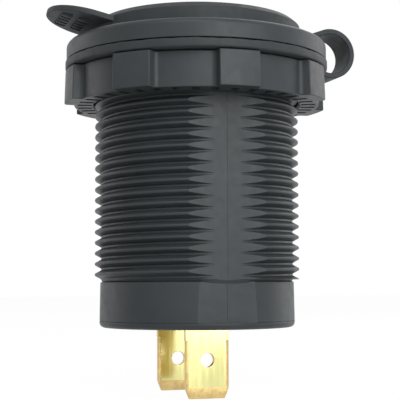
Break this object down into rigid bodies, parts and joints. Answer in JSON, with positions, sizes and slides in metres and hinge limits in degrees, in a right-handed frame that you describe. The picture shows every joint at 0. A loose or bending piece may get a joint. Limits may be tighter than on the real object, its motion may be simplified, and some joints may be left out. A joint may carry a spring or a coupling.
{
  "type": "12 volt power socket",
  "caption": "Round panel-mounted 12 V power socket: threaded barrel with flats, ring nut, rubber cap on a strap loop, and flat blade terminals.",
  "frame": {"origin": "on the barrel's axis at the panel face, the underside of the seal ring", "axes": "+Z along the barrel out of the mouth; the cap's strap lies along +X and its pull tab along -X; the flats face -Y and +Y"},
  "size_m": [0.0457, 0.0378, 0.054],
  "materials": {
    "barrel_plastic": "satin grey-black moulded plastic",
    "nut_plastic": "satin grey-black moulded plastic",
    "cap_rubber": "matt black rubber",
    "sleeve_metal": "bright plated brass",
    "contact_brass": "bright brass",
    "blade_brass": "bright rolled brass",
    "bush_plastic": "natural moulded insulator"
  },
  "bodies": {
    "socket": {"socket_body": "barrel_plastic", "seal_ring": "cap_rubber", "cap_strap": "cap_rubber", "contact_sleeve": "sleeve_metal", "insulator_bush": "bush_plastic", "centre_contact": "contact_brass", "centre_rivet": "contact_brass", "back_rivet": "contact_brass", "front_terminal": "blade_brass", "back_terminal": "blade_brass", "rear_cover": "barrel_plastic"},
    "cap": {"dust_cap": "cap_rubber"},
    "nut": {"lock_nut": "nut_plastic"}
  },
  "joints": [
    {"name": "cap_open", "type": "hinge", "parent": "socket", "child": "cap", "pos_m": [0.0244, 0, 0.0027], "axis": [0, 1, 0], "range_deg": [0, 160], "deforming": ["cap_strap"]},
    {"name": "nut_turn", "type": "hinge", "parent": "socket", "child": "nut", "pos_m": [0, 0, -0.0025], "axis": [0, 0, 1], "continuous": true}
  ]
}
